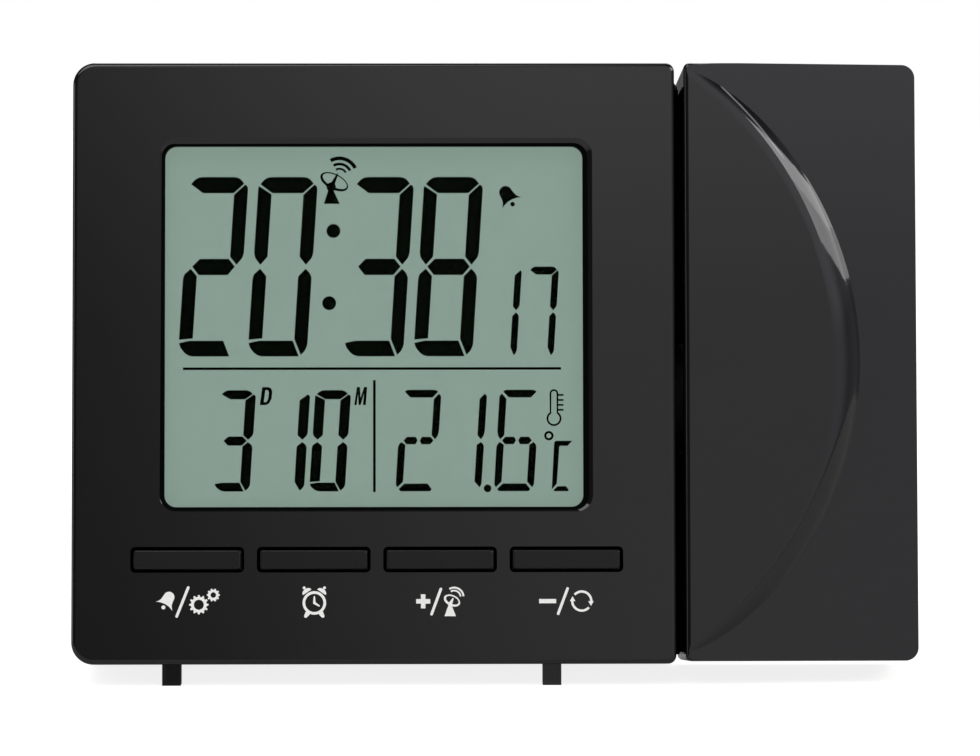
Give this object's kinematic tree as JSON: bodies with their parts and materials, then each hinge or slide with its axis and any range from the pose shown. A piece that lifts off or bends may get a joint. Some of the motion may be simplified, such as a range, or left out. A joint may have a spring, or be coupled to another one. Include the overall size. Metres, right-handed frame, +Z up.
{
  "type": "projection alarm clock",
  "caption": "Square black digital alarm clock leaning back on flip-out feet, with a display over a row of keys and a slim swivelling projector arm at its side.",
  "frame": {"origin": "on the floor under the middle of the clock's box", "axes": "+X to the viewer's right along the face, +Y back from the face, +Z up; the face leans back 8 degrees"},
  "size_m": [0.1406, 0.0434, 0.1028],
  "materials": {
    "case_black": "gloss",
    "key_black": "satin",
    "clear_acrylic": "clear",
    "display_glass": "polished",
    "diffuser": "matt",
    "inner_plastic": "matt",
    "stem_plastic": "matt",
    "contact_rubber": "matt",
    "board_green": "satin",
    "steel": "plated",
    "cell_metal": "wrapped",
    "ferrite": "matt",
    "copper": "enamelled wire",
    "lamp": "clear",
    "sensor": "matt",
    "wire": "satin"
  },
  "bodies": {
    "case": {"front_cover": "case_black", "rear_cover": "case_black", "display_window": "clear_acrylic", "lcd_front_glass": "display_glass", "lcd_rear_glass": "display_glass", "backlight_plate": "diffuser", "lcd_frame": "inner_plastic", "zebra_strip": "contact_rubber", "main_board": "board_green", "key_switches": "inner_plastic", "snooze_switch": "inner_plastic", "battery_upper": "cell_metal", "battery_lower": "cell_metal", "battery_contacts": "steel", "antenna_rod": "ferrite", "antenna_coil": "copper", "buzzer": "inner_plastic", "dc_jack": "inner_plastic", "temperature_sensor": "sensor", "case_screws": "steel", "board_screws": "steel", "board_header": "inner_plastic"},
    "snooze": {"snooze_bar": "key_black", "snooze_stem": "stem_plastic"},
    "battery_door": {"battery_door": "case_black"},
    "foot_left": {"foot_left": "case_black"},
    "foot_right": {"foot_right": "case_black"},
    "projector_arm": {"swivel_hub": "case_black", "arm_front_shell": "case_black", "arm_rear_shell": "case_black", "arm_screws": "steel", "projector_tube": "inner_plastic", "projector_slide": "display_glass", "condenser_lens": "clear_acrylic", "led_board": "board_green", "projector_led": "lamp", "projector_wires": "wire"},
    "focus_wheel": {"focus_wheel": "key_black"},
    "lens_carrier": {"lens_barrel": "inner_plastic", "projector_lens": "clear_acrylic"},
    "set_key": {"set_button": "key_black", "set_stem": "stem_plastic"},
    "alarm_key": {"alarm_button": "key_black", "alarm_stem": "stem_plastic"},
    "plus_key": {"plus_button": "key_black", "plus_stem": "stem_plastic"},
    "minus_key": {"minus_button": "key_black", "minus_stem": "stem_plastic"}
  },
  "joints": [
    {"name": "set_key_press", "type": "slide", "parent": "case", "child": "set_key", "axis": [0, 0.9903, -0.1392], "range_m": [0, 0.0005], "stiffness_N_per_m": 600, "springref_m": -0.0004},
    {"name": "alarm_key_press", "type": "slide", "parent": "case", "child": "alarm_key", "axis": [0, 0.9903, -0.1392], "range_m": [0, 0.0005], "stiffness_N_per_m": 600, "springref_m": -0.0004},
    {"name": "plus_key_press", "type": "slide", "parent": "case", "child": "plus_key", "axis": [0, 0.9903, -0.1392], "range_m": [0, 0.0005], "stiffness_N_per_m": 600, "springref_m": -0.0004},
    {"name": "minus_key_press", "type": "slide", "parent": "case", "child": "minus_key", "axis": [0, 0.9903, -0.1392], "range_m": [0, 0.0005], "stiffness_N_per_m": 600, "springref_m": -0.0004},
    {"name": "snooze_press", "type": "slide", "parent": "case", "child": "snooze", "axis": [0, -0.1392, -0.9903], "range_m": [0, 0.0006], "stiffness_N_per_m": 600, "springref_m": -0.0005},
    {"name": "battery_door_lift", "type": "slide", "parent": "case", "child": "battery_door", "axis": [0, 0.9903, -0.1392], "range_m": [0, 0.03]},
    {"name": "arm_swivel", "type": "hinge", "parent": "case", "child": "projector_arm", "pos_m": [0.0306, -0.00272, 0.04616], "axis": [1, 0, 0], "range_deg": [-90, 90]},
    {"name": "focus_turn", "type": "hinge", "parent": "projector_arm", "child": "focus_wheel", "pos_m": [0.05083, 0.0063, 0.08882], "axis": [0, 0.1392, 0.9903], "range_deg": [-60, 60]},
    {"name": "lens_focus", "type": "slide", "parent": "projector_arm", "child": "lens_carrier", "axis": [0, 0.1392, 0.9903], "range_m": [-0.0008, 0.0008]},
    {"name": "foot_left_fold", "type": "hinge", "parent": "case", "child": "foot_left", "pos_m": [-0.05382, -0.01732, 0.00479], "axis": [1, 0, 0], "range_deg": [0, 90]},
    {"name": "foot_right_fold", "type": "hinge", "parent": "case", "child": "foot_right", "pos_m": [0.00928, -0.01732, 0.00479], "axis": [1, 0, 0], "range_deg": [0, 90]}
  ],
  "couplings": [
    {"joint": "lens_focus", "follows": "focus_turn", "m_per_rad": 0.00075}
  ]
}
